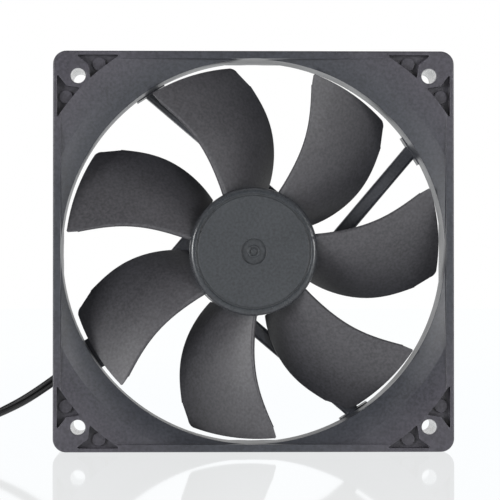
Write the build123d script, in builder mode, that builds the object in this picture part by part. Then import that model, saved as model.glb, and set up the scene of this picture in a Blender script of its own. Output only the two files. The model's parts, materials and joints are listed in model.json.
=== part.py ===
"""120 mm case fan with a sleeve-bearing brushless motor and a two-wire lead.

The fan stands on the bottom edge of its frame. Its axis lies along Y and its intake side faces -Y.
The origin is under the middle of the frame, on the surface that it stands on. Millimetres.

Most pieces are drawn as seen from the intake side. There, x runs to the right, y runs up, and a height is
measured along the axis from the frame's mid-depth, positive towards the intake.
"""

from build123d import *
import os
from math import atan2, copysign, cos, degrees, pi, radians, sin, sqrt, tan

os.makedirs("parts", exist_ok=True)

# ---------------------------------------------------------------- driving dimensions

# Frame
SIZE = 120.0  # side of the square
DEPTH = 25.0  # along the axis
FRONT = DEPTH / 2  # height of the intake face
REAR = -DEPTH / 2  # height of the outlet face
AXIS_Z = SIZE / 2  # fan axis above the ground
CORNER_R = 4.0
EDGE_R = 0.4  # rounding of the outer edges
HOLE_PITCH = 105.0  # screw holes, between centres
HOLE_R = 2.2
HOLE_CHAMFER = 0.3
BOSS_R = 4.3  # tube round each screw hole
RIM_HALF = 57.7  # middle of the fan to the inside of the square rim
THROAT_R = 57.8  # ring that the blades run in
LAND_R = 71.2  # intake slope starts here, in the corners
CREASE_R = 64.2  # the slope gets steeper here
CREASE_DROP = 1.2  # crease below the intake face
BELL_DROP = 4.2  # throat starts this far below the intake face
FLARE_R = 63.0  # outlet flare at the rear face
FLARE_H = 6.5  # depth of the outlet flare
FRONT_FLANGE = 5.0
REAR_FLANGE = 4.5
BARREL_R = 59.5  # outside of the ring between the flanges
BARREL_REAR_R = 62.0  # the same where it runs into the rear flange
FLAT_W = 20.0  # flush stretch in the middle of each side
RIB_T = 1.6  # diagonal rib through each boss
POCKET_LINE = 58.8  # middle of the fan to the pockets' outer wall
POCKET_FAR_X = 39.9  # where a pocket ends along that wall
POCKET_NEAR_X = 53.1
POCKET_BEND = (49.5, 56.0)  # its wall turns here, to pass the boss
POCKET_INNER = (48.9, 51.9)  # its innermost corner
POCKET_MIDDLE = 39.0  # direction of the middle of its curved wall, from the side's middle line
POCKET_DEPTH = 3.0
REAR_POCKET_DEPTH = 2.2
POCKET_R = 0.25  # rounding of the pockets' corners
EJECTOR_R = 2.0  # round witness marks in the intake pockets
EJECTOR_AT = (46.3, 56.2)
EJECTOR_T = 0.8

# Struts and motor base
STRUTS = 4
STRUT_ANGLE = 49.7  # direction of the first strut
STRUT_ASIDE = 17.2  # the struts pass the axis at this distance
STRUT_W = 4.3
STRUT_TOP = -8.0  # intake side of the struts
STRUT_END = 56.0  # along the strut, into the ring's wall
STRUT_FILLET = 1.0  # where a strut meets the motor base
STRUT_EDGE_R = 1.1
PAD_W = 9.8  # thickened stretch of ring at each strut
PAD_R = 57.4
WIRE_PAD_R = 55.9  # the same at the strut that carries the lead
PAD_TOP = -5.6
WIRE_STRUT = 2  # this strut carries the lead
BASE_R = 19.5
BASE_IN_R = 18.1
BASE_FLOOR = -11.35
SOCKET_R = 5.8  # collar that holds the bearing tube
SOCKET_TOP = -9.9
LABEL_R = 16.8
LABEL_T = 0.2
LABEL_GAP = 0.3
LABEL_RECESS = 0.3

# Impeller
BLADES = 7
BLADE_ANGLE = 51.5  # middle of the first blade
TIP_R = 56.3
HUB_R = 19.25
HUB_IN_R = 18.0
HUB_TOP = 12.0
HUB_WALL = 10.0  # inside of the hub's closed end
HUB_END = -7.2
HUB_EDGE_R = 1.4
GROOVE_R = 16.7  # fine groove round the hub's face
GROOVE_W = 0.65
GROOVE_D = 0.4
DIMPLE_R = 3.9  # recess in the middle of the face
DIMPLE_D = 1.0
GATE_RING_R = 1.85  # ring and nub inside the recess
GATE_RING_IN_R = 1.35
NUB_R = 0.8
NUB_T = 0.4
BOSS_IN_R = 4.2  # boss that holds the shaft bush
BOSS_END = 7.2
BUSH_TOP = 10.5

# One blade, as sections at right angles to its middle line. Distance out from the axis, where the
# leading and trailing edges lie to either side, the heights of the two edges, and the thickness.
BLADE_SECTIONS = [
    (17.6, 4.2, -8.6, 9.4, -5.9, 2.1),
    (24.0, 5.0, -11.7, 9.6, -5.8, 1.9),
    (31.0, 6.5, -13.4, 9.8, -5.4, 1.8),
    (38.0, 9.1, -13.5, 9.9, -4.8, 1.7),
    (45.0, 13.2, -12.0, 9.9, -4.2, 1.6),
    (52.0, 18.4, -9.5, 9.8, -3.6, 1.5),
    (58.0, 23.6, -6.8, 9.6, -3.1, 1.4),
]
# Outline of the tip's rounded trailing corner and of its leading corner, along and across the blade.
TRAILING_CORNER = [(54.2, -7.75), (55.33, -6.98)]
LEADING_CORNER = [(53.1, 18.7), (52.6, 18.85)]
TIP_ANGLES = (-5.9, 6.0, 18.9)  # the tip's arc between them, from the blade's middle line
LEADING_TRIM = (50.0, 17.4)  # the leading edge is cut from its corner to here
TRAILING_TRIM = (49.5, -10.65)  # and the trailing edge to here
BLADE_ROOM = [(48.0, 30.0), (10.0, 30.0), (10.0, -30.0), (44.0, -30.0)]  # clear of the rest of the blade
BLADE_FLATNESS = 0.55  # slope at the leading edge, as a share of the mean slope
BLADE_TAPER = 0.5  # the trailing edge is thinner by this share

# Motor
MAGNET_IN_R = 15.2
MAGNET_HALF = 6.0
YOKE_T = 1.0
YOKE_TOP = 10.0
YOKE_END = -6.8
YOKE_EDGE_R = 0.6
YOKE_GAP = 0.1
MAGNET_CHAMFER = 0.3
SHAFT_R = 1.5
SHAFT_END = -10.5
BUSH_R = 3.0
CLIP_AT = -9.2
CLIP_T = 0.4
CLIP_R = 2.8
CLIP_SLOT = 1.9
NECK_R = 1.1  # shaft groove that the clip sits in
SHAFT_TIP_R = 0.5
TUBE_R = 4.6
TUBE_IN_R = 3.6
TUBE_TOP = 6.8
BEARING_END = -8.3
BEARING_TOP = 5.2
BORE_R = 1.53
BEARING_CHAMFER = 0.4
WASHER_IN_R = 1.85
WASHER_T = 0.6
PAD_T = 0.75
CORE_R = 14.7
CORE_IN_R = 12.9  # inside of the pole shoes
CORE_HUB_R = 7.2
CORE_HALF = 3.0
POLES = 4
NECK_W = 5.0
POLE_GAP = 3.0
POLE_ANGLE = 20.0
BOBBIN_T = 0.8
BOBBIN_HALF = 6.2
WINDING_IN = 7.4
WINDING_OUT = 11.8
WINDING_W = 10.0
WINDING_HALF = 6.0
WINDING_R = 1.5
BOARD_R = 17.5
BOARD_IN_R = 6.0
BOARD_TOP = -8.6
BOARD_T = 1.0
PIN_R = 0.3
PIN_AT = 13.3
PIN_ANGLES = (5, 20, 35)
BOARD_PART_CHAMFER = 0.15
SOLDER_R = 0.7
SOLDER_H = 1.2
SOLDER_TAPER = 20.0

# Lead
WIRE_D = 1.5
WIRE_SHIFT = 0.78  # from the middle of the pair to each wire
LEAD_D = 2 * WIRE_D  # the two wires side by side
WIRE_H = -10.55  # height of the wires in their channel
WIRE_BEND_R = 4.0
CHANNEL_W = 3.4
CHANNEL_TOP = -9.0
CHANNEL_BEYOND = 4.0  # the channel's cut runs past the side by this much
# Corners of the wires' way inside the fan: along the strut, and aside from the axis.
WIRE_CORNERS = [(-3.0, 14.6), (9.0, 15.7), (22.0, STRUT_ASIDE), (54.5, STRUT_ASIDE)]
TAB_T = 0.8  # bars that keep the wires in the channel
TAB_L = 1.8
TAB_W = 3.9
TABS_AT = (32, 46)  # along the strut
EXIT_X = -SIZE / 2 + 1.0
EXIT_Z = 22.0
EXIT_SLANT = 39.0  # the channel's slope as it leaves the frame
COIL_X = -98.5
COIL_Y = -7.0
COIL_H = 1.6
COIL_IN_R = 10.4
COIL_OUT_R = 19.7
TIE_W = 2.5
TIE_T = 0.45
TIE_SLACK = 0.2  # between the tie and the coil's sides
TIE_LOCK = (3.6, 3.6, 1.8)
TIE_LOCK_R = 0.5
CONNECTOR = (7.7, 12.7, 5.8)  # width, length, height
CONTACT_PITCH = 2.54
CONTACT_SIZE = 1.7
CAVITY = 1.9
HOUSING_CHAMFER = 0.25
RIB_W = 0.7  # ribs on the housing
RIB_H = 0.5
RIB_START = 2.0  # from the wires' end
WINDOW = (1.2, 2.6)
WINDOW_AT = 5.7  # from the wires' end
CONTACT_START = 2.5
CONTACT_END = 0.5  # short of the open end
SOCKET_DEPTH = 4.0

# The lead's loose stretch, from where it leaves the frame to where it lies on its coil.
LEAD_ROUTE = [
    (EXIT_X, -WIRE_H, EXIT_Z),
    (-66.8, 10.8, 16.3),
    (-75.5, 11.2, 11.6),
    (-84.5, 11.4, 7.8),
    (-92.0, 11.4, 4.9),
    (-98.5, 11.0, 2.8),
]
# From the inside of the coil to the connector, which lies on the coil.
CONNECTOR_Z = COIL_H + CONNECTOR[2] / 2
TAIL_ROUTE = [
    (-109.6, -2.5, LEAD_D / 2),
    (-111.3, -8.3, CONNECTOR_Z),
    (-112.1, -14.3, CONNECTOR_Z),
]

# ---------------------------------------------------------------- frames of reference


def at(height, angle=0.0):
    """The plane across the fan axis at a height, seen from the intake side, with x turned to an angle."""
    x_dir = (cos(radians(angle)), 0, sin(radians(angle)))
    return Plane(origin=(0, -height, AXIS_Z), x_dir=x_dir, z_dir=(0, -1, 0))


def on_circle(radius, angle):
    """A point of a circle about the axis."""
    return (radius * cos(radians(angle)), radius * sin(radians(angle)))


def facing(angle, out, aside=0.0):
    """The plane square to a direction, out along it and aside to its left. x is leftwards, y is height."""
    direction = Vector(cos(radians(angle)), 0, sin(radians(angle)))
    left = Vector(-sin(radians(angle)), 0, cos(radians(angle)))
    origin = Vector(0, 0, AXIS_Z) + direction * out + left * aside
    return Plane(origin=origin, x_dir=left, z_dir=direction)


def strut_point(index, along, aside=STRUT_ASIDE):
    """A point beside a strut, as seen from the intake side, along it and aside from the axis."""
    angle = radians(STRUT_ANGLE + index * 360 / STRUTS)
    return (along * cos(angle) + aside * sin(angle), along * sin(angle) - aside * cos(angle))


# The half plane through the axis: x is the radius and y is the height.
PROFILE = Plane(origin=(0, 0, AXIS_Z), x_dir=(1, 0, 0), z_dir=(0, 0, -1))
FAN_AXIS = Axis((0, 0, AXIS_Z), (0, -1, 0))


def arc_radii(points):
    """The largest even arcs that the runs of a route leave room for, one at each corner."""
    radii = []
    for before, corner, after in zip(points, points[1:], points[2:]):
        first = Vector(*corner) - Vector(*before)
        second = Vector(*after) - Vector(*corner)
        half_turn = radians(first.get_angle(second)) / 2
        radii.append(0.45 * min(first.length, second.length) / tan(half_turn))
    return radii


def write(part, name):
    """Label a finished piece and write it."""
    part.label = name
    export_step(part, f"parts/{name}.step")


# ---------------------------------------------------------------- frame housing

# Space inside the square rim where the intake slopes down to the throat.
with BuildPart() as bell_mouth:
    with BuildSketch(at(FRONT - BELL_DROP)):
        RectangleRounded(2 * RIM_HALF, 2 * RIM_HALF, CORNER_R / 2)
    extrude(amount=BELL_DROP + 1)
    with BuildSketch(PROFILE) as bell_profile:
        with BuildLine():
            land = Line((LAND_R, FRONT), (CREASE_R, FRONT - CREASE_DROP))
            bell = TangentArc(land @ 1, (THROAT_R, FRONT - BELL_DROP), tangent=(-1, -0.35))
            Line(bell @ 1, (0, FRONT - BELL_DROP))
            Line((0, FRONT - BELL_DROP), (0, FRONT + 1))
            Line((0, FRONT + 1), (LAND_R, FRONT + 1))
            Line((LAND_R, FRONT + 1), land @ 0)
        make_face()
    revolve(axis=FAN_AXIS, mode=Mode.INTERSECT)

# Space inside the square rim where the outlet widens again.
with BuildPart() as outlet_flare:
    with BuildSketch(at(REAR - 1)):
        RectangleRounded(2 * RIM_HALF, 2 * RIM_HALF, CORNER_R / 2)
    extrude(amount=FLARE_H + 1)
    with BuildSketch(PROFILE):
        with BuildLine():
            flare = TangentArc((THROAT_R, REAR + FLARE_H), (FLARE_R, REAR), tangent=(0, -1))
            Line(flare @ 1, (FLARE_R, REAR - 1))
            Line((FLARE_R, REAR - 1), (0, REAR - 1))
            Line((0, REAR - 1), (0, REAR + FLARE_H))
            Line((0, REAR + FLARE_H), flare @ 0)
        make_face()
    revolve(axis=FAN_AXIS, mode=Mode.INTERSECT)

WAIST_END = REAR + REAR_FLANGE
WAIST_TOP = FRONT - FRONT_FLANGE

# Space between the two flanges, outside the ring, less the flats, the bosses and the ribs.
with BuildPart() as waist:
    with BuildSketch(at(WAIST_END)):
        Rectangle(SIZE + 2, SIZE + 2)
        Rectangle(FLAT_W, SIZE + 2, mode=Mode.SUBTRACT)
        Rectangle(SIZE + 2, FLAT_W, mode=Mode.SUBTRACT)
        with GridLocations(HOLE_PITCH, HOLE_PITCH, 2, 2):
            Circle(BOSS_R, mode=Mode.SUBTRACT)
        for lean in (45, -45):
            Rectangle(2 * SIZE, RIB_T, rotation=lean, mode=Mode.SUBTRACT)
    extrude(amount=WAIST_TOP - WAIST_END)
    with BuildSketch(PROFILE):
        with BuildLine():
            Polyline(
                (0, WAIST_TOP + 1),
                (BARREL_R, WAIST_TOP + 1),
                (BARREL_R, -3),
                (BARREL_REAR_R, WAIST_END - 1),
                (0, WAIST_END - 1),
                close=True,
            )
        make_face()
    revolve(axis=FAN_AXIS, mode=Mode.SUBTRACT)

# One triangular pocket beside a screw hole: the rim, the intake slope and the boss bound it.
with BuildSketch() as pocket:
    with BuildLine():
        far_end = (POCKET_FAR_X, POCKET_LINE)
        near_end = (POCKET_NEAR_X, POCKET_LINE)
        middle = (LAND_R * sin(radians(POCKET_MIDDLE)), LAND_R * cos(radians(POCKET_MIDDLE)))
        Line(far_end, near_end)
        Polyline(near_end, POCKET_BEND, POCKET_INNER)
        ThreePointArc(POCKET_INNER, middle, far_end)
    make_face()
    fillet(pocket.vertices(), POCKET_R)

with BuildSketch() as corner_pockets:
    add(pocket.sketch)
    mirror(pocket.sketch, about=Plane(origin=(0, 0, 0), x_dir=(1, 1, 0), z_dir=(1, -1, 0)))


def wire_way(shift=0.0, beyond=0.0):
    """The way out of the motor base, along a strut and through the rear flange, or one beside it."""
    way = [strut_point(WIRE_STRUT, along, aside + shift) for along, aside in WIRE_CORNERS]
    leaving = radians(180 + EXIT_SLANT)
    end_x = EXIT_X + beyond * cos(leaving) + shift * sin(leaving)
    end_y = EXIT_Z - AXIS_Z + beyond * sin(leaving) - shift * cos(leaving)
    return way + [(end_x, end_y)]


with BuildSketch() as wire_track:
    with BuildLine():
        FilletPolyline(*wire_way(beyond=CHANNEL_BEYOND), radius=WIRE_BEND_R)
    trace(line_width=CHANNEL_W)

# Motor base with its four struts: seen from the intake side, each strut runs off the base to one side.
with BuildPart() as spider:
    with BuildSketch(at(REAR)) as spider_plan:
        Circle(BASE_R)
        for index in range(STRUTS):
            with Locations(strut_point(index, STRUT_END / 2)):
                Rectangle(STRUT_END, STRUT_W, rotation=STRUT_ANGLE + index * 360 / STRUTS)
        near_side = STRUT_ASIDE - STRUT_W / 2
        for index in range(STRUTS):
            root = strut_point(index, sqrt(BASE_R**2 - near_side**2), near_side)
            fillet(spider_plan.vertices().sort_by_distance(root)[0], STRUT_FILLET)
    extrude(amount=STRUT_TOP - REAR)
    fillet(
        faces().sort_by(Axis.Y)[0].edges().filter_by(GeomType.LINE).filter_by(lambda e: e.length > 20),
        STRUT_EDGE_R,
    )
    # Cup, and the collar in the middle of it
    with BuildSketch(at(BASE_FLOOR)):
        Circle(BASE_IN_R)
        Circle(SOCKET_R, mode=Mode.SUBTRACT)
    extrude(amount=STRUT_TOP - BASE_FLOOR, mode=Mode.SUBTRACT)
    with BuildSketch(at(SOCKET_TOP)):
        Circle(SOCKET_R)
    extrude(amount=STRUT_TOP - SOCKET_TOP, mode=Mode.SUBTRACT)
    with BuildSketch(at(BASE_FLOOR)):
        Circle(TUBE_R)
    extrude(amount=STRUT_TOP - BASE_FLOOR, mode=Mode.SUBTRACT)
    with BuildSketch(at(REAR)):
        Circle(LABEL_R + LABEL_GAP)
    extrude(amount=LABEL_RECESS, mode=Mode.SUBTRACT)

with BuildPart() as frame_housing:
    # Square body with softened outer edges
    with BuildSketch(at(REAR)):
        RectangleRounded(SIZE, SIZE, CORNER_R)
    extrude(amount=DEPTH)
    fillet(faces().sort_by(Axis.Y)[0].edges(), EDGE_R)
    fillet(faces().sort_by(Axis.Y)[-1].edges(), EDGE_R)
    # Air passage
    with BuildSketch(at(REAR)):
        Circle(THROAT_R)
    extrude(amount=DEPTH, mode=Mode.SUBTRACT)
    add(bell_mouth.part, mode=Mode.SUBTRACT)
    add(outlet_flare.part, mode=Mode.SUBTRACT)
    add(waist.part, mode=Mode.SUBTRACT)
    # Pockets and the marks on their floors
    with BuildSketch(at(FRONT - POCKET_DEPTH)):
        with PolarLocations(0, 4):
            add(corner_pockets.sketch)
    extrude(amount=POCKET_DEPTH, mode=Mode.SUBTRACT)
    with BuildSketch(at(FRONT - POCKET_DEPTH)):
        with PolarLocations(0, 4):
            with Locations(EJECTOR_AT, (EJECTOR_AT[1], EJECTOR_AT[0])):
                Circle(EJECTOR_R)
    extrude(amount=EJECTOR_T)
    with BuildSketch(at(REAR)):
        with PolarLocations(0, 4):
            add(corner_pockets.sketch)
    extrude(amount=REAR_POCKET_DEPTH, mode=Mode.SUBTRACT)
    # Thickened ring at the ends of the struts
    with BuildSketch(at(REAR)):
        for index in range(STRUTS):
            end = strut_point(index, STRUT_END)
            inside = WIRE_PAD_R if index == WIRE_STRUT else PAD_R
            with PolarLocations((inside + BARREL_R) / 2, 1, start_angle=degrees(atan2(end[1], end[0]))):
                Rectangle(BARREL_R - inside, PAD_W)
    extrude(amount=PAD_TOP - REAR)
    add(spider.part)
    # Wire channel: a tunnel through the wall of the motor base, then a groove with bars across it
    with BuildSketch(at(BASE_FLOOR)):
        add(wire_track.sketch)
    extrude(amount=CHANNEL_TOP - BASE_FLOOR, mode=Mode.SUBTRACT)
    with BuildSketch(at(REAR)):
        add(wire_track.sketch)
        Circle(BASE_R, mode=Mode.SUBTRACT)
    extrude(amount=CHANNEL_TOP - REAR, mode=Mode.SUBTRACT)
    with BuildSketch(at(REAR)):
        for along in TABS_AT:
            with Locations(strut_point(WIRE_STRUT, along)):
                Rectangle(TAB_L, TAB_W, rotation=STRUT_ANGLE + WIRE_STRUT * 360 / STRUTS)
    extrude(amount=TAB_T)
    # Screw holes
    with BuildSketch(at(REAR)):
        with GridLocations(HOLE_PITCH, HOLE_PITCH, 2, 2):
            Circle(HOLE_R)
    extrude(amount=DEPTH, mode=Mode.SUBTRACT)
    for height in (FRONT, REAR):
        with BuildSketch(at(height)):
            with GridLocations(HOLE_PITCH, HOLE_PITCH, 2, 2):
                Circle(HOLE_R + HOLE_CHAMFER)
        extrude(amount=-copysign(HOLE_CHAMFER, height), taper=45, mode=Mode.SUBTRACT)

write(frame_housing.part, "frame_housing")

# ---------------------------------------------------------------- impeller


def blade_section(lead, trail, lead_h, trail_h, thickness):
    """The outline of one blade section: two faces, a round nose and a round tail."""
    front_side = []
    rear_side = []
    for step in range(5):
        share = step / 4
        sag = BLADE_FLATNESS * share + (1 - BLADE_FLATNESS) * share**2
        slope = (BLADE_FLATNESS + 2 * (1 - BLADE_FLATNESS) * share) * (trail_h - lead_h)
        run = trail - lead
        middle = Vector(lead + run * share, lead_h + (trail_h - lead_h) * sag)
        normal = Vector(slope, -run).normalized()
        half = thickness / 2 * (1 - BLADE_TAPER * share)
        front_side.append(middle + normal * half)
        rear_side.append(middle - normal * half)
    along = Vector(run, (trail_h - lead_h) * BLADE_FLATNESS).normalized()
    nose = (front_side[0] + rear_side[0]) / 2 - along * thickness / 2
    along = Vector(run, slope).normalized()
    tail = (front_side[-1] + rear_side[-1]) / 2 + along * half
    return front_side, tail, rear_side, nose


with BuildPart() as blade:
    for out, lead, trail, lead_h, trail_h, thickness in BLADE_SECTIONS:
        front_side, tail, rear_side, nose = blade_section(lead, trail, lead_h, trail_h, thickness)
        with BuildSketch(facing(BLADE_ANGLE, out)):
            with BuildLine():
                Spline(*front_side)
                ThreePointArc(front_side[-1], tail, rear_side[-1])
                Spline(*reversed(rear_side))
                ThreePointArc(rear_side[0], nose, front_side[0])
            make_face()
    loft()
    # Tip, cut to the sweep of the blades, with its trailing corner well rounded
    with BuildSketch(at(REAR, BLADE_ANGLE)):
        with BuildLine():
            tip_points = [on_circle(TIP_R, angle) for angle in TIP_ANGLES]
            corner = ThreePointArc(*TRAILING_CORNER, tip_points[0])
            tip = ThreePointArc(*tip_points)
            nip = ThreePointArc(tip @ 1, *LEADING_CORNER)
            Polyline(nip @ 1, LEADING_TRIM, *BLADE_ROOM, TRAILING_TRIM, corner @ 0)
        make_face()
    extrude(amount=DEPTH, mode=Mode.INTERSECT)

with BuildPart() as impeller:
    # Hub: a cup that opens to the rear
    with BuildSketch(at(HUB_END)):
        Circle(HUB_R)
    extrude(amount=HUB_TOP - HUB_END)
    fillet(faces().sort_by(Axis.Y)[0].edges(), HUB_EDGE_R)
    for index in range(BLADES):
        add(blade.part.rotate(FAN_AXIS, index * 360 / BLADES))
    with BuildSketch(at(HUB_END)):
        Circle(HUB_IN_R)
    extrude(amount=HUB_WALL - HUB_END, mode=Mode.SUBTRACT)
    # Boss for the shaft bush
    with BuildSketch(at(BOSS_END)):
        Circle(BOSS_IN_R)
    extrude(amount=HUB_WALL - BOSS_END)
    with BuildSketch(at(BOSS_END)):
        Circle(BUSH_R)
    extrude(amount=BUSH_TOP - BOSS_END, mode=Mode.SUBTRACT)
    # Face of the hub: a fine groove near its edge, and a recess with a raised ring and a nub
    with BuildSketch(at(HUB_TOP - GROOVE_D)):
        Circle(GROOVE_R + GROOVE_W)
        Circle(GROOVE_R, mode=Mode.SUBTRACT)
    extrude(amount=GROOVE_D, mode=Mode.SUBTRACT)
    with BuildSketch(at(HUB_TOP - DIMPLE_D)):
        Circle(DIMPLE_R)
    extrude(amount=DIMPLE_D, mode=Mode.SUBTRACT)
    with BuildSketch(at(HUB_TOP - DIMPLE_D)):
        Circle(GATE_RING_R)
        Circle(GATE_RING_IN_R, mode=Mode.SUBTRACT)
        Circle(NUB_R)
    extrude(amount=NUB_T)

write(impeller.part, "impeller")

# ---------------------------------------------------------------- turning parts of the motor

with BuildPart() as rotor_yoke:
    with BuildSketch(at(YOKE_END)):
        Circle(HUB_IN_R)
    extrude(amount=YOKE_TOP - YOKE_END)
    fillet(faces().sort_by(Axis.Y)[0].edges(), YOKE_EDGE_R)
    with BuildSketch(at(YOKE_END)):
        Circle(HUB_IN_R - YOKE_T)
    extrude(amount=YOKE_TOP - YOKE_END - YOKE_T, mode=Mode.SUBTRACT)
    with BuildSketch(at(YOKE_END)):
        Circle(BOSS_IN_R + YOKE_GAP)
    extrude(amount=YOKE_TOP - YOKE_END, mode=Mode.SUBTRACT)

write(rotor_yoke.part, "rotor_yoke")

with BuildPart() as ring_magnet:
    with BuildSketch(at(-MAGNET_HALF)):
        Circle(HUB_IN_R - YOKE_T)
        Circle(MAGNET_IN_R, mode=Mode.SUBTRACT)
    extrude(amount=2 * MAGNET_HALF)
    chamfer(edges().filter_by(GeomType.CIRCLE).sort_by(SortBy.LENGTH)[:2], MAGNET_CHAMFER)

write(ring_magnet.part, "ring_magnet")

with BuildPart() as shaft:
    with BuildSketch(at(SHAFT_END)):
        Circle(SHAFT_R)
    extrude(amount=BUSH_TOP - SHAFT_END)
    fillet(faces().sort_by(Axis.Y)[-1].edges(), SHAFT_TIP_R)
    # Groove for the retaining clip
    with BuildSketch(at(CLIP_AT)):
        Circle(SHAFT_R)
        Circle(NECK_R, mode=Mode.SUBTRACT)
    extrude(amount=CLIP_T, mode=Mode.SUBTRACT)

write(shaft.part, "shaft")

with BuildPart() as shaft_bush:
    with BuildSketch(at(BOSS_END)):
        Circle(BUSH_R)
        Circle(SHAFT_R, mode=Mode.SUBTRACT)
    extrude(amount=BUSH_TOP - BOSS_END)

write(shaft_bush.part, "shaft_bush")

# A split ring that snaps into the shaft's groove
with BuildPart() as retaining_clip:
    with BuildSketch(at(CLIP_AT)):
        Circle(CLIP_R)
        Circle(NECK_R, mode=Mode.SUBTRACT)
        with Locations((CLIP_R, 0)):
            Rectangle(2 * CLIP_R, CLIP_SLOT, mode=Mode.SUBTRACT)
    extrude(amount=CLIP_T)

write(retaining_clip.part, "retaining_clip")

# ---------------------------------------------------------------- bearing

with BuildPart() as bearing_tube:
    with BuildSketch(at(BASE_FLOOR)):
        Circle(TUBE_R)
        Circle(TUBE_IN_R, mode=Mode.SUBTRACT)
    extrude(amount=TUBE_TOP - BASE_FLOOR)

write(bearing_tube.part, "bearing_tube")

with BuildPart() as sleeve_bearing:
    with BuildSketch(at(BEARING_END)):
        Circle(TUBE_IN_R)
        Circle(BORE_R, mode=Mode.SUBTRACT)
    extrude(amount=BEARING_TOP - BEARING_END)
    chamfer(edges().filter_by(GeomType.CIRCLE).sort_by(SortBy.LENGTH)[-2:], BEARING_CHAMFER)

write(sleeve_bearing.part, "sleeve_bearing")

with BuildPart() as dust_washer:
    with BuildSketch(at(BEARING_TOP)):
        Circle(TUBE_IN_R)
        Circle(WASHER_IN_R, mode=Mode.SUBTRACT)
    extrude(amount=WASHER_T)

write(dust_washer.part, "dust_washer")

with BuildPart() as wear_pad:
    with BuildSketch(at(BASE_FLOOR)):
        Circle(TUBE_IN_R)
    extrude(amount=PAD_T)

write(wear_pad.part, "wear_pad")

# ---------------------------------------------------------------- stator

# Outline of one lamination: hub, four necks and four pole shoes
with BuildSketch() as lamination:
    Circle(CORE_R)
    Circle(CORE_IN_R, mode=Mode.SUBTRACT)
    with PolarLocations(CORE_R, POLES, start_angle=POLE_ANGLE + 180 / POLES):
        Rectangle(CORE_R, POLE_GAP, mode=Mode.SUBTRACT)
    for index in range(POLES // 2):
        Rectangle(2 * CORE_IN_R + 1, NECK_W, rotation=POLE_ANGLE + index * 360 / POLES)
    Circle(CORE_HUB_R)
    Circle(TUBE_R, mode=Mode.SUBTRACT)

with BuildPart() as stator_core:
    with BuildSketch(at(-CORE_HALF)):
        add(lamination.sketch)
    extrude(amount=2 * CORE_HALF)

write(stator_core.part, "stator_core")

# The two bobbins are the same moulding, one on each side of the core
for name, side in (("front_bobbin", 1), ("rear_bobbin", -1)):
    with BuildPart() as bobbin:
        with BuildSketch(at(side * CORE_HALF)):
            add(lamination.sketch)
        extrude(amount=side * BOBBIN_T)
        with BuildSketch(at(side * CORE_HALF)):
            Circle(CORE_IN_R + BOBBIN_T)
            Circle(CORE_IN_R, mode=Mode.SUBTRACT)
            with PolarLocations(CORE_R, POLES, start_angle=POLE_ANGLE + 180 / POLES):
                Rectangle(CORE_R, POLE_GAP, mode=Mode.SUBTRACT)
            Circle(CORE_HUB_R)
            Circle(CORE_HUB_R - BOBBIN_T, mode=Mode.SUBTRACT)
        extrude(amount=side * (BOBBIN_HALF - CORE_HALF))
    write(bobbin.part, name)

# One winding on each pole
for index in range(POLES):
    with BuildPart() as winding:
        with BuildSketch(facing(POLE_ANGLE + index * 360 / POLES, WINDING_IN)):
            RectangleRounded(WINDING_W, 2 * WINDING_HALF, WINDING_R)
            Rectangle(NECK_W, 2 * (CORE_HALF + BOBBIN_T), mode=Mode.SUBTRACT)
        extrude(amount=WINDING_OUT - WINDING_IN)
    write(winding.part, f"winding_{index + 1}")

# ---------------------------------------------------------------- circuit board

with BuildPart() as circuit_board:
    with BuildSketch(at(BOARD_TOP - BOARD_T)):
        Circle(BOARD_R)
        Circle(BOARD_IN_R, mode=Mode.SUBTRACT)
        for angle in PIN_ANGLES:
            with Locations(on_circle(PIN_AT, angle)):
                Circle(PIN_R, mode=Mode.SUBTRACT)
    extrude(amount=BOARD_T)

write(circuit_board.part, "circuit_board")

# Parts that stand on the board: name, angle and distance from the axis, length, width and height
BOARD_PARTS = [
    ("hall_driver_chip", 245, 10.5, 5.0, 4.0, 1.3),
    ("filter_capacitor", 140, 10.8, 3.2, 2.5, 1.3),
    ("polarity_diode", 320, 10.8, 4.2, 2.4, 1.3),
    ("chip_resistor", 65, 10.5, 2.0, 1.25, 0.6),
]
for name, angle, distance, length, width, height in BOARD_PARTS:
    with BuildPart() as board_part:
        with BuildSketch(at(BOARD_TOP, angle)):
            with Locations((distance, 0)):
                Rectangle(width, length)
        extrude(amount=height)
        chamfer(faces().sort_by(Axis.Y)[0].edges(), BOARD_PART_CHAMFER)
    write(board_part.part, name)

# Pins that join the windings to the board
with BuildPart() as winding_pins:
    with BuildSketch(at(BOARD_TOP - BOARD_T)):
        for angle in PIN_ANGLES:
            with Locations(on_circle(PIN_AT, angle)):
                Circle(PIN_R)
    extrude(amount=-BOBBIN_HALF - BOARD_TOP + BOARD_T)

write(winding_pins.part, "winding_pins")

# Solder under each pin, and where each wire of the lead ends
wire_along, wire_aside = WIRE_CORNERS[0]
with BuildPart() as solder_joints:
    with BuildSketch(at(BOARD_TOP - BOARD_T)):
        for angle in PIN_ANGLES:
            with Locations(on_circle(PIN_AT, angle)):
                Circle(SOLDER_R)
        for shift in (WIRE_SHIFT, -WIRE_SHIFT):
            with Locations(strut_point(WIRE_STRUT, wire_along - SOLDER_R, wire_aside + shift)):
                Circle(SOLDER_R)
    extrude(amount=-SOLDER_H, taper=SOLDER_TAPER)

write(solder_joints.part, "solder_joints")

with BuildPart() as rear_label:
    with BuildSketch(at(REAR + LABEL_RECESS)):
        Circle(LABEL_R)
    extrude(amount=-LABEL_T)

write(rear_label.part, "rear_label")

# ---------------------------------------------------------------- lead

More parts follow.
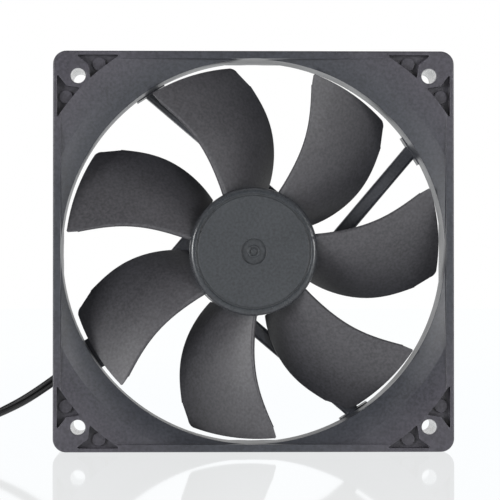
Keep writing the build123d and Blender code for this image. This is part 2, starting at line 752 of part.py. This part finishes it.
# The two wires inside the fan, side by side in their channel
for name, shift in (("strut_wire_1", WIRE_SHIFT), ("strut_wire_2", -WIRE_SHIFT)):
    with BuildPart() as strut_wire:
        with BuildLine(at(WIRE_H)) as wire_line:
            FilletPolyline(*wire_way(shift), radius=WIRE_BEND_R)
        with BuildSketch(Plane(wire_line.line @ 0, z_dir=wire_line.line % 0)):
            Circle(WIRE_D / 2)
        sweep()
    write(strut_wire.part, name)


def lead_tube(route):
    """A round tube along a route, checked against its length."""
    radii = arc_radii(route)
    print("bend radii", [round(radius, 1) for radius in radii])
    with BuildPart() as tube:
        with BuildLine() as path:
            FilletPolyline(*route, radius=radii)
        with BuildSketch(Plane(path.line @ 0, z_dir=path.line % 0)):
            Circle(LEAD_D / 2)
        sweep()
    length = path.wires()[0].length
    print("length", round(length, 1), "volume ratio", round(tube.part.volume / (length * pi * LEAD_D**2 / 4), 4))
    return tube.part


write(lead_tube(LEAD_ROUTE), "lead_free")
write(lead_tube(TAIL_ROUTE), "lead_tail")

# The rest of the lead, wound into a flat coil: its outer shape
with BuildPart() as lead_coil:
    with BuildSketch(Plane.XY):
        with Locations((COIL_X, COIL_Y)):
            Circle(COIL_OUT_R)
            Circle(COIL_IN_R, mode=Mode.SUBTRACT)
    extrude(amount=COIL_H)

write(lead_coil.part, "lead_coil")

# A cable tie round the coil: a loop with its lock on top
COIL_MIDDLE = (COIL_OUT_R + COIL_IN_R) / 2
tie_width = COIL_OUT_R - COIL_IN_R + 2 * TIE_SLACK
with BuildPart() as lead_tie:
    tie_plane = Plane(origin=(COIL_X, COIL_Y - COIL_MIDDLE, 0), x_dir=(0, 1, 0), z_dir=(1, 0, 0))
    with BuildSketch(tie_plane.offset(-TIE_W / 2)):
        with Locations((0, COIL_H / 2 + TIE_T)):
            RectangleRounded(tie_width + 2 * TIE_T, COIL_H + 2 * TIE_T, 2 * TIE_T)
            RectangleRounded(tie_width, COIL_H, TIE_T, mode=Mode.SUBTRACT)
    extrude(amount=TIE_W)
    with BuildSketch(Plane.XY.offset(COIL_H + TIE_T)):
        with Locations((COIL_X, COIL_Y - COIL_MIDDLE)):
            RectangleRounded(*TIE_LOCK[:2], TIE_LOCK_R)
    extrude(amount=TIE_LOCK[2])

write(lead_tie.part, "lead_tie")

# ---------------------------------------------------------------- connector

# Lying on the coil, in line with the end of the lead. y runs from the wires to the open end.
tail_end = Vector(*TAIL_ROUTE[-1])
tail_run = tail_end - Vector(*TAIL_ROUTE[-2])
mating = Vector(tail_run.X, tail_run.Y, 0).normalized()
connector_plane = Plane(origin=(tail_end.X, tail_end.Y, COIL_H), x_dir=(mating.Y, -mating.X, 0))
width, length, height = CONNECTOR
CONTACT_X = [(number - 1) * CONTACT_PITCH for number in range(3)]

with BuildPart() as connector_housing:
    with BuildSketch(connector_plane):
        with Locations((0, length / 2)):
            Rectangle(width, length)
    extrude(amount=height)
    chamfer(edges().filter_by(Axis.Z), HOUSING_CHAMFER)
    # Two ribs on top, so that it goes in one way round
    with BuildSketch(connector_plane.offset(height)):
        for x in (-CONTACT_PITCH / 2, CONTACT_PITCH / 2):
            with Locations((x, (length + RIB_START) / 2)):
                Rectangle(RIB_W, length - RIB_START)
    extrude(amount=RIB_H)
    # A way through for each contact, and a window over its latch
    with BuildSketch(connector_plane.offset(height / 2 - CAVITY / 2)):
        for x in CONTACT_X:
            with Locations((x, length / 2)):
                Rectangle(CAVITY, length)
    extrude(amount=CAVITY, mode=Mode.SUBTRACT)
    with BuildSketch(connector_plane):
        for x in CONTACT_X:
            with Locations((x, WINDOW_AT)):
                Rectangle(*WINDOW)
    extrude(amount=height / 2, mode=Mode.SUBTRACT)

write(connector_housing.part, "connector_housing")

# Crimped contacts of the two wires
with BuildPart() as connector_contacts:
    for x in CONTACT_X[:2]:
        with BuildSketch(connector_plane.offset(height / 2 - CONTACT_SIZE / 2)):
            with Locations((x, (CONTACT_START + length - CONTACT_END) / 2)):
                Rectangle(CONTACT_SIZE, length - CONTACT_END - CONTACT_START)
        extrude(amount=CONTACT_SIZE)
        with BuildSketch(connector_plane.offset(height / 2 - CONTACT_SIZE / 4)):
            with Locations((x, length - CONTACT_END - SOCKET_DEPTH / 2)):
                Rectangle(CONTACT_SIZE / 2, SOCKET_DEPTH)
        extrude(amount=CONTACT_SIZE / 2, mode=Mode.SUBTRACT)

write(connector_contacts.part, "connector_contacts")
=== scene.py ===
"""120 mm case fan: looks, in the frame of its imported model. Metres, except where a name says otherwise."""

import json
from math import cos, pi, radians, sin

import bmesh
import bpy
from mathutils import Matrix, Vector


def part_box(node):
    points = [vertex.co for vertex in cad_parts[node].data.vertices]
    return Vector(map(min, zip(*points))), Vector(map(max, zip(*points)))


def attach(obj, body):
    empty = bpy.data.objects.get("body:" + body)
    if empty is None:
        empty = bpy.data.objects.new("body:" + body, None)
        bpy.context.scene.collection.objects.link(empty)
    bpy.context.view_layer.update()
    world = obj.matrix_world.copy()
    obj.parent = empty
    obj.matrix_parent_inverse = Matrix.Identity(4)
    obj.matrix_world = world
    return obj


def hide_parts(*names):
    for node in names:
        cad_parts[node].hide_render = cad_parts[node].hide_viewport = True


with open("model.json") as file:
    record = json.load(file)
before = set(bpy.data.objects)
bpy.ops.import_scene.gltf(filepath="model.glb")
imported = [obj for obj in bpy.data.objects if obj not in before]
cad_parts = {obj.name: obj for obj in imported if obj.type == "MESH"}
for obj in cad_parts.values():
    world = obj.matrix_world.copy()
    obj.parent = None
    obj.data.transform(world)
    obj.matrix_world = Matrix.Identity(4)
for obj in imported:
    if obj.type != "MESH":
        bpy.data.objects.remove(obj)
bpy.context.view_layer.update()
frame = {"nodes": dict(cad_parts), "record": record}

nodes = frame["nodes"]

MM = 0.001

# ---------------------------------------------------------------- sizes from the frame

frame_low, frame_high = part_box("frame_housing")
FRONT_Y = frame_low.y
AXIS_Z = (frame_low.z + frame_high.z) / 2

# ---------------------------------------------------------------- camera and light

CAMERA_AT = Vector((-0.022, FRONT_Y - 0.808, 0.0486))
CAMERA_AIM = Vector((-0.00114, FRONT_Y, 0.0604))
CAMERA_LENS_MM = 194.7
CAMERA_CLIP = (0.05, 50)

camera = bpy.data.objects.new("camera", bpy.data.cameras.new("camera"))
camera.data.lens = CAMERA_LENS_MM
camera.data.clip_start, camera.data.clip_end = CAMERA_CLIP
camera.location = CAMERA_AT
camera.rotation_euler = (CAMERA_AIM - CAMERA_AT).to_track_quat("-Z", "Y").to_euler()
bpy.context.scene.collection.objects.link(camera)
bpy.context.scene.camera = camera
bpy.context.scene.view_settings.view_transform = "Standard"


def area_light(name, place, size, power):
    """A square soft box at a place, turned to the middle of the fan. Size in metres, power in watts."""
    light = bpy.data.lights.new(name, "AREA")
    light.size = size
    light.energy = power
    lamp = bpy.data.objects.new(name, light)
    lamp.location = place
    lamp.rotation_euler = (Vector((0, 0, AXIS_Z)) - Vector(place)).to_track_quat("-Z", "Y").to_euler()
    lamp.visible_camera = False
    bpy.context.scene.collection.objects.link(lamp)


area_light("key", (-0.85, -0.85, 0.14), 0.45, 10.1)
area_light("fill", (0.7, -1.0, 0.14), 0.45, 6.9)
area_light("top", (0.0, -0.3, 1.1), 0.8, 1)

# ---------------------------------------------------------------- material nodes


def add_node(tree, kind, inputs, **settings):
    """A new node. An input is a value, or another node's output to link to it."""
    made = tree.nodes.new(kind)
    for name, value in settings.items():
        setattr(made, name, value)
    for socket, value in inputs.items():
        if isinstance(value, bpy.types.NodeSocket):
            tree.links.new(value, made.inputs[socket])
        else:
            made.inputs[socket].default_value = value
    return made


def calculate(tree, operation, first, second=0.0, clamp=False):
    """The output of a math node."""
    inputs = {0: first, 1: second}
    return add_node(tree, "ShaderNodeMath", inputs, operation=operation, use_clamp=clamp).outputs[0]


def noise(tree, place, size, detail=2.0):
    """Noise from 0 to 1 with features of about this size, in metres."""
    inputs = {"Vector": place, "Scale": 1 / size, "Detail": detail}
    return add_node(tree, "ShaderNodeTexNoise", inputs).outputs["Fac"]


def spread(tree, value, low, high, from_low=0.3, from_high=0.7):
    """A value, spread over another range and kept in it. Most noise lies between 0.3 and 0.7."""
    inputs = {"Value": value, "From Min": from_low, "From Max": from_high, "To Min": low, "To Max": high}
    return add_node(tree, "ShaderNodeMapRange", inputs).outputs["Result"]


def mix_color(tree, share, first, second):
    """The output of a colour mix."""
    made = add_node(tree, "ShaderNodeMix", {0: share}, data_type="RGBA")
    for socket, value in zip((made.inputs[6], made.inputs[7]), (first, second)):
        if isinstance(value, bpy.types.NodeSocket):
            tree.links.new(value, socket)
        else:
            socket.default_value = value
    return made.outputs[2]


def shade(color, factor):
    """A colour made lighter or darker, with full alpha."""
    return (*[min(channel * factor, 1) for channel in color], 1)


def vector_math(tree, operation, first, second=(0, 0, 0), output=0):
    """An output of a vector math node."""
    return add_node(tree, "ShaderNodeVectorMath", {0: first, 1: second}, operation=operation).outputs[output]


def object_place(tree):
    """The place of a point in the part's frame, in metres."""
    return add_node(tree, "ShaderNodeTexCoord", {}).outputs["Object"]


def blank_material(name):
    """A new material, its tree, its shader and its object coordinates, in metres."""
    made = bpy.data.materials.new(name)
    made.use_nodes = True
    tree = made.node_tree
    return made, tree, tree.nodes["Principled BSDF"], object_place(tree)


EDGE_SAMPLES = 6
EDGE_TURN = (0.02, 0.25)  # how far the normal turns, as 1 less its cosine, where an edge starts and is full


def edge_mask(tree, radius):
    """1 on convex and concave edges within a radius, 0 elsewhere, and a normal that is round there."""
    rounded = add_node(tree, "ShaderNodeBevel", {"Radius": radius}, samples=EDGE_SAMPLES).outputs["Normal"]
    flat = add_node(tree, "ShaderNodeNewGeometry", {}).outputs["Normal"]
    same = vector_math(tree, "DOT_PRODUCT", rounded, flat, "Value")
    return spread(tree, calculate(tree, "SUBTRACT", 1.0, same), 0.0, 1.0, *EDGE_TURN), rounded


def add_grain(tree, shader, height, normal, depth):
    """Bump of a depth on a shader, from a height from 0 to 1."""
    inputs = {"Height": height, "Normal": normal, "Distance": depth, "Strength": 1.0}
    bump = add_node(tree, "ShaderNodeBump", inputs)
    tree.links.new(bump.outputs["Normal"], shader.inputs["Normal"])


CLOUD_SIZE = 14 * MM
CLOUD_TONE = 0.12  # the clouds are lighter and darker by this share
CLOUD_GLOSS = 0.06  # and rougher and smoother by this much
GRAIN_GLOSS = 0.05
SPECK_SIZE = 2.3  # against the grain's size
SPECK_SHARE = 0.5
WEAR_SIZE = 3 * MM
WEAR_SHADE = 2.2  # how much lighter the worn edges are, and how much smoother
WEAR_GLOSS = 0.12


def moulded_plastic(
    name,
    color,
    roughness,
    grain_size=0.35 * MM,
    grain_depth=0.012 * MM,
    edge=0.25 * MM,
    wear=0.5,
    speckle=1.3,
):
    """Moulded plastic: a fine grain with lighter specks, a cloudy tone, and lighter and smoother edges."""
    made, tree, shader, place = blank_material(name)
    cloud = noise(tree, place, CLOUD_SIZE, detail=3)
    fine = noise(tree, place, grain_size, detail=3)
    speck = noise(tree, place, grain_size * SPECK_SIZE, detail=1)
    on_edge, rounded = edge_mask(tree, edge)
    worn = calculate(tree, "MULTIPLY", on_edge, spread(tree, noise(tree, place, WEAR_SIZE), 0.0, wear))
    darker = shade(color, 1 - CLOUD_TONE)
    lighter = shade(color, 1 + CLOUD_TONE)
    body = mix_color(tree, spread(tree, cloud, 0, 1), darker, lighter)
    body = mix_color(tree, spread(tree, speck, 0, SPECK_SHARE), body, shade(color, speckle))
    body = mix_color(tree, worn, body, shade(color, WEAR_SHADE))
    tree.links.new(body, shader.inputs["Base Color"])
    rough = spread(tree, cloud, roughness - CLOUD_GLOSS, roughness + CLOUD_GLOSS)
    rough = calculate(tree, "ADD", rough, spread(tree, fine, -GRAIN_GLOSS, GRAIN_GLOSS))
    rough = calculate(tree, "SUBTRACT", rough, calculate(tree, "MULTIPLY", worn, WEAR_GLOSS), clamp=True)
    tree.links.new(rough, shader.inputs["Roughness"])
    add_grain(tree, shader, fine, rounded, grain_depth)
    return made


def axis_distance(tree, middle_z):
    """The distance from the fan axis."""
    from_axis = vector_math(tree, "SUBTRACT", object_place(tree), (0, 0, middle_z))
    across = vector_math(tree, "MULTIPLY", from_axis, (1, 0, 1))
    return vector_math(tree, "LENGTH", across, output="Value")


def polish(made, where, amount):
    """Make a material smoother where a mask is 1."""
    tree = made.node_tree
    socket = tree.nodes["Principled BSDF"].inputs["Roughness"]
    before = socket.links[0].from_socket
    less = calculate(tree, "MULTIPLY", where, amount)
    tree.links.new(calculate(tree, "SUBTRACT", before, less, clamp=True), socket)


def polish_ring(made, middle_z, span, amount):
    """Make a ring about the fan axis smoother, between two radii."""
    tree = made.node_tree
    radius = axis_distance(tree, middle_z)
    outside = calculate(tree, "GREATER_THAN", radius, span[0])
    inside = calculate(tree, "LESS_THAN", radius, span[1])
    polish(made, calculate(tree, "MULTIPLY", inside, outside), amount)


def tint(made, share, first, second):
    """Multiply a material's colour by a factor between two, by a share from 0 to 1."""
    tree = made.node_tree
    socket = tree.nodes["Principled BSDF"].inputs["Base Color"]
    before = socket.links[0].from_socket
    factor = mix_color(tree, share, (*first, 1), (*second, 1))
    tree.links.new(vector_math(tree, "MULTIPLY", before, factor), socket)


def tint_by_radius(made, middle_z, span, inner, outer):
    """Tint a material by its distance from the fan axis, with a blend over a span."""
    tree = made.node_tree
    tint(made, spread(tree, axis_distance(tree, middle_z), 0, 1, *span), inner, outer)


def tint_by_depth(made, span, front, rear):
    """Tint a material by its place along the fan axis, with a blend over a span."""
    tree = made.node_tree
    depth = add_node(tree, "ShaderNodeSeparateXYZ", {0: object_place(tree)}).outputs["Y"]
    tint(made, spread(tree, depth, 0, 1, *span), front, rear)


def paint_bore_reflection_and_polish(made, pitch, middle_z, radius):
    """Make the walls of four round holes along Y smoother than the rest, and lighter with a painted
    reflection.
    """
    tree = made.node_tree
    shader = tree.nodes["Principled BSDF"]
    axes = add_node(tree, "ShaderNodeSeparateXYZ", {0: object_place(tree)}).outputs
    from_x = calculate(tree, "SUBTRACT", calculate(tree, "ABSOLUTE", axes["X"]), pitch / 2)
    from_z = calculate(tree, "SUBTRACT", axes["Z"], middle_z)
    from_z = calculate(tree, "SUBTRACT", calculate(tree, "ABSOLUTE", from_z), pitch / 2)
    x_squared = calculate(tree, "POWER", from_x, 2.0)
    z_squared = calculate(tree, "POWER", from_z, 2.0)
    from_hole = calculate(tree, "SQRT", calculate(tree, "ADD", x_squared, z_squared))
    bore = calculate(tree, "LESS_THAN", from_hole, radius)
    before = shader.inputs["Base Color"].links[0].from_socket
    tree.links.new(mix_color(tree, bore, before, (*BORE_REFLECTION_PAINT, 1)), shader.inputs["Base Color"])
    polish(made, bore, BORE_POLISH)


METAL_MARK_SIZE = 0.3 * MM
METAL_MARK_DEPTH = 0.004 * MM
METAL_EDGE = 0.12 * MM
EDGE_SHARE = 0.4
EDGE_SHADE = 1.35
TARNISH_SIZE = 5 * MM
TARNISH = 0.2
TARNISH_GLOSS = (-0.05, 0.08)
MARK_GLOSS = 0.06


def metal(name, color, roughness, stretch=(1, 1, 1)):
    """Metal with fine marks, which may be drawn out, some tarnish, and lighter edges."""
    made, tree, shader, place = blank_material(name)
    drawn = add_node(tree, "ShaderNodeMapping", {"Vector": place, "Scale": stretch}).outputs["Vector"]
    marks = noise(tree, drawn, METAL_MARK_SIZE, detail=4)
    cloud = noise(tree, place, TARNISH_SIZE, detail=3)
    on_edge, rounded = edge_mask(tree, METAL_EDGE)
    darker = shade(color, 1 - TARNISH)
    lighter = shade(color, 1 + TARNISH / 2)
    body = mix_color(tree, spread(tree, cloud, 0, 1), darker, lighter)
    body = mix_color(tree, calculate(tree, "MULTIPLY", on_edge, EDGE_SHARE), body, shade(color, EDGE_SHADE))
    tree.links.new(body, shader.inputs["Base Color"])
    rough = spread(tree, cloud, roughness + TARNISH_GLOSS[0], roughness + TARNISH_GLOSS[1])
    rough = calculate(tree, "ADD", rough, spread(tree, marks, -MARK_GLOSS, MARK_GLOSS))
    tree.links.new(rough, shader.inputs["Roughness"])
    add_grain(tree, shader, marks, rounded, METAL_MARK_DEPTH)
    shader.inputs["Metallic"].default_value = 1.0
    return made


# ---------------------------------------------------------------- materials

materials = {
    "frame": moulded_plastic(
        "frame_plastic",
        (0.034, 0.034, 0.038),
        0.38,
        grain_depth=0.02 * MM,
        speckle=2.2,
    ),
    "impeller": moulded_plastic(
        "impeller_plastic",
        (0.025, 0.025, 0.026),
        0.46,
        grain_depth=0.02 * MM,
        edge=0.35 * MM,
        wear=0.9,
        speckle=2.2,
    ),
    "magnet": moulded_plastic("ferrite", (0.05, 0.045, 0.043), 0.7),
    "steel": metal("ground_steel", (0.6, 0.6, 0.6), 0.25),
    "yoke": metal("plated_steel", (0.5, 0.51, 0.52), 0.35),
    "brass": metal("turned_brass", (0.72, 0.55, 0.26), 0.3),
    "bearing": metal("sintered_bronze", (0.5, 0.33, 0.18), 0.5),
    "core": metal("silicon_steel", (0.32, 0.33, 0.34), 0.45, stretch=(1, 12, 1)),
    "bobbin": moulded_plastic("white_nylon", (0.75, 0.73, 0.67), 0.5, wear=0.1),
    "copper": metal("enamelled_copper", (0.55, 0.22, 0.09), 0.3),
    "board": moulded_plastic("solder_mask", (0.03, 0.16, 0.06), 0.3, wear=0.2),
    "chip": moulded_plastic("epoxy", (0.02, 0.02, 0.02), 0.5),
    "capacitor": moulded_plastic("ceramic", (0.5, 0.38, 0.24), 0.5),
    "solder": metal("solder_metal", (0.62, 0.62, 0.6), 0.25),
    "nylon": moulded_plastic("natural_nylon", (0.7, 0.68, 0.6), 0.45, wear=0.1),
    "label": moulded_plastic("label_film", (0.55, 0.56, 0.57), 0.3, wear=0.1),
    "wire": moulded_plastic(
        "wire_insulation",
        (0.012, 0.012, 0.013),
        0.33,
        grain_size=0.6 * MM,
        edge=0.05 * MM,
    ),
    "tie": moulded_plastic("tie_nylon", (0.02, 0.02, 0.02), 0.35, wear=0.1),
    "connector": moulded_plastic("connector_nylon", (0.02, 0.02, 0.021), 0.35),
    "contact": metal("tinned_bronze", (0.6, 0.58, 0.52), 0.3),
}

# The tints and the light bores are tuned. They stand in for softer shading than these lights give.

# The flat corners lean towards violet, the intake's slope towards blue.
SLOPE_SPAN = (60 * MM, 71 * MM)
SLOPE_TINT = (0.76, 0.82, 0.91)
CORNER_TINT = (1.14, 1.08, 1.20)
tint_by_radius(materials["frame"], AXIS_Z, SLOPE_SPAN, SLOPE_TINT, CORNER_TINT)

# The hub is darker than its blades, and the blades are lighter in front than at the rear.
HUB_SPAN = (18 * MM, 21 * MM)
HUB_TINT = (0.80, 0.90, 0.99)
BLADE_TINT = (1.52, 1.48, 1.58)
BLADE_SPAN = (-9 * MM, 4 * MM)
BLADE_FRONT_TINT = (1.15, 1.15, 1.15)
BLADE_REAR_TINT = (0.56, 0.58, 0.61)
tint_by_radius(materials["impeller"], AXIS_Z, HUB_SPAN, HUB_TINT, BLADE_TINT)
tint_by_depth(materials["impeller"], BLADE_SPAN, BLADE_FRONT_TINT, BLADE_REAR_TINT)

# The rim of the hub's face is glossy.
RIM_SPAN = (17.3 * MM, 19.3 * MM)
RIM_POLISH = 0.24
polish_ring(materials["impeller"], AXIS_Z, RIM_SPAN, RIM_POLISH)

HOLE_PITCH = 105 * MM
BORE_R = 2.3 * MM
# The light grey of the bore walls is a painted reflection; their lower roughness is a real finish.
BORE_REFLECTION_PAINT = (0.30, 0.30, 0.31)
BORE_POLISH = 0.25
paint_bore_reflection_and_polish(materials["frame"], HOLE_PITCH, AXIS_Z, BORE_R)

slot_of = {part["node"]: part["material_slot"] for part in frame["record"]["subparts"]}
for name, node in nodes.items():
    node.data.materials.clear()
    node.data.materials.append(materials[slot_of[name]])

# ---------------------------------------------------------------- lead

WIRE_R = 0.75 * MM
WIRE_SHIFT = 0.74 * MM  # from the middle of the pair to each wire; the two touch
UNTWIST = 44 * MM  # the wires turn from one over the other to side by side over this length

# The lead's way from where it leaves the frame to where it lies down on its coil.
LEAD_ROUTE = [
    (-0.0590, 0.01055, 0.0220),
    (-0.0668, 0.0108, 0.0163),
    (-0.0755, 0.0112, 0.0116),
    (-0.0845, 0.0114, 0.0078),
    (-0.0920, 0.0114, 0.0049),
    (-0.0985, 0.0110, 0.0028),
]
# Its way from the inside of the coil to the connector, which lies on the coil.
TAIL_ROUTE = [
    (-0.1096, -0.0025, 0.0015),
    (-0.1113, -0.0083, 0.0045),
    (-0.1121, -0.0143, 0.0045),
]
COIL_AT = Vector((-0.0985, -0.007))
COIL_R = 18.1 * MM  # the first turn, on the outside
COIL_PITCH = 2.95 * MM  # each turn touches the next
COIL_START = 110  # direction of its first point, in degrees
COIL_SWEEP = 756  # how far it goes round from there, and from one control point to the next
COIL_STEP = 27
LINE_RESOLUTION = 8

coil_route = []
for turn in range(0, COIL_SWEEP, COIL_STEP):
    radius = (COIL_R - COIL_PITCH * turn / 360) / cos(radians(COIL_STEP / 2))
    angle = radians(COIL_START + turn)
    coil_route.append((COIL_AT.x + radius * cos(angle), COIL_AT.y + radius * sin(angle), WIRE_R))

route = LEAD_ROUTE + coil_route + TAIL_ROUTE


def spline_points(name, points, resolution):
    """The line of a smooth curve with these control points."""
    curve = bpy.data.curves.new(name, "CURVE")
    curve.dimensions = "3D"
    spline = curve.splines.new("NURBS")
    spline.points.add(len(points) - 1)
    for point, place in zip(spline.points, points):
        point.co = (*place, 1)
    spline.order_u = 3
    spline.use_endpoint_u = True
    spline.resolution_u = resolution
    holder = bpy.data.objects.new(name, curve)
    bpy.context.scene.collection.objects.link(holder)
    line = bpy.data.meshes.new_from_object(holder)
    places = [vertex.co.copy() for vertex in line.vertices]
    bpy.data.objects.remove(holder)
    bpy.data.meshes.remove(line)
    return places


lead_line = spline_points("lead_line", route, LINE_RESOLUTION)


def smooth_step(low, high, value):
    """0 below low, 1 above high, and a smooth rise between them."""
    share = min(max((value - low) / (high - low), 0), 1)
    return share * share * (3 - 2 * share)


def tube(mesh, line, radius, sides=16):
    """Add a round tube along a line to a mesh, closed at both ends."""
    rings = []
    up = Vector((0, 0, 1))
    for index, place in enumerate(line):
        before = line[max(index - 1, 0)]
        after = line[min(index + 1, len(line) - 1)]
        tangent = (after - before).normalized()
        side = tangent.cross(up).normalized()
        top = side.cross(tangent)
        ring = []
        for step in range(sides):
            angle = 2 * pi * step / sides
            ring.append(mesh.verts.new(place + radius * (cos(angle) * side + sin(angle) * top)))
        rings.append(ring)
    for ring, following in zip(rings, rings[1:]):
        for step in range(sides):
            corners = (ring[step], ring[(step + 1) % sides], following[(step + 1) % sides], following[step])
            mesh.faces.new(corners)
    mesh.faces.new(rings[0])
    mesh.faces.new(reversed(rings[-1]))


def lead_wires(line):
    """Where the two wires of the pair run: from one over the other to side by side."""
    lengths = [0.0]
    for before, after in zip(line, line[1:]):
        lengths.append(lengths[-1] + (after - before).length)
    wires = ([], [])
    for index, place in enumerate(line):
        before = line[max(index - 1, 0)]
        after = line[min(index + 1, len(line) - 1)]
        tangent = (after - before).normalized()
        level = tangent.cross(Vector((0, 0, 1))).normalized()
        above = level.cross(tangent)
        lay = smooth_step(0.0, UNTWIST, lengths[index]) * pi / 2
        side = cos(lay) * above + sin(lay) * level
        for wire, shift in zip(wires, (WIRE_SHIFT, -WIRE_SHIFT)):
            wire.append(place + shift * side)
    return wires


def new_piece(name, mesh, body, slot):
    """A finished smooth piece from a mesh, riding on a body."""
    bmesh.ops.recalc_face_normals(mesh, faces=mesh.faces)
    data = bpy.data.meshes.new(name)
    mesh.to_mesh(data)
    mesh.free()
    piece = bpy.data.objects.new(name, data)
    bpy.context.scene.collection.objects.link(piece)
    for face in data.polygons:
        face.use_smooth = True
    data.materials.append(materials[slot])
    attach(piece, body)
    return piece


lead_mesh = bmesh.new()
for wire in lead_wires(lead_line):
    tube(lead_mesh, wire, WIRE_R)
lead = new_piece("lead", lead_mesh, "frame", "wire")
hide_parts("lead_free", "lead_coil", "lead_tail")

# ---------------------------------------------------------------- floor and backdrop

FLOOR_MIRROR = 0.33  # how strong its mirror image is, against that of a clear sheet
FLOOR_IOR = 1.45
FLOOR_ROUGHNESS = 0.04
FLOOR_GLOW = (0.985, 0.997, 1, 1)
FLOOR_SHEEN = (0.93, 0.96, 1, 1)
FLOOR_HALF_SIDE = 6
FLOOR_FADE = (0.3, 1.2)  # it mirrors less from the first distance, and nothing beyond the second

floor_mesh = bmesh.new()
bmesh.ops.create_grid(floor_mesh, x_segments=2, y_segments=2, size=FLOOR_HALF_SIDE)
floor_data = bpy.data.meshes.new("floor")
floor_mesh.to_mesh(floor_data)
floor_mesh.free()
floor = bpy.data.objects.new("floor", floor_data)
bpy.context.scene.collection.objects.link(floor)

# A lit white acrylic sheet: it glows, mirrors the fan faintly, and is as bright as the backdrop further off
floor_material, tree, shader, place = blank_material("floor")
tree.nodes.remove(shader)
distance = vector_math(tree, "LENGTH", place, output="Value")
glow = add_node(tree, "ShaderNodeEmission", {"Color": FLOOR_GLOW, "Strength": 1.0}).outputs["Emission"]
gloss = {"Color": FLOOR_SHEEN, "Roughness": FLOOR_ROUGHNESS}
sheen = add_node(tree, "ShaderNodeBsdfAnisotropic", gloss).outputs["BSDF"]
grazing = add_node(tree, "ShaderNodeFresnel", {"IOR": FLOOR_IOR}).outputs[0]
mirrored = calculate(tree, "MULTIPLY", grazing, spread(tree, distance, FLOOR_MIRROR, 0, *FLOOR_FADE))
both = add_node(tree, "ShaderNodeMixShader", {0: mirrored, 1: glow, 2: sheen}).outputs["Shader"]
tree.links.new(both, tree.nodes["Material Output"].inputs["Surface"])
floor_data.materials.append(floor_material)

# A white backdrop that lights the fan mostly from behind: the room in front of it and its ceiling are darker
ROOM_LIGHT = 0.25  # brightness in front of the fan, against the backdrop's
ROOM_TURN = 0.6  # how far the change between them reaches, as the Y of a direction
CEILING_LIGHT = 0.4
CEILING_RISE = (0.05, 0.7)  # the change to the ceiling, as the Z of a direction

world = bpy.data.worlds.new("studio")
world.use_nodes = True
tree = world.node_tree
toward = add_node(tree, "ShaderNodeTexCoord", {}).outputs["Generated"]
split = add_node(tree, "ShaderNodeSeparateXYZ", {0: toward}).outputs
room = spread(tree, split["Y"], ROOM_LIGHT, 1.0, -ROOM_TURN, ROOM_TURN)
ceiling = spread(tree, split["Z"], 1.0, CEILING_LIGHT, *CEILING_RISE)
seen = add_node(tree, "ShaderNodeLightPath", {}).outputs["Is Camera Ray"]
strength = calculate(tree, "MAXIMUM", calculate(tree, "MULTIPLY", room, ceiling), seen)
tree.links.new(strength, tree.nodes["Background"].inputs["Strength"])
tree.nodes["Background"].inputs["Color"].default_value = (1, 1, 1, 1)
bpy.context.scene.world = world
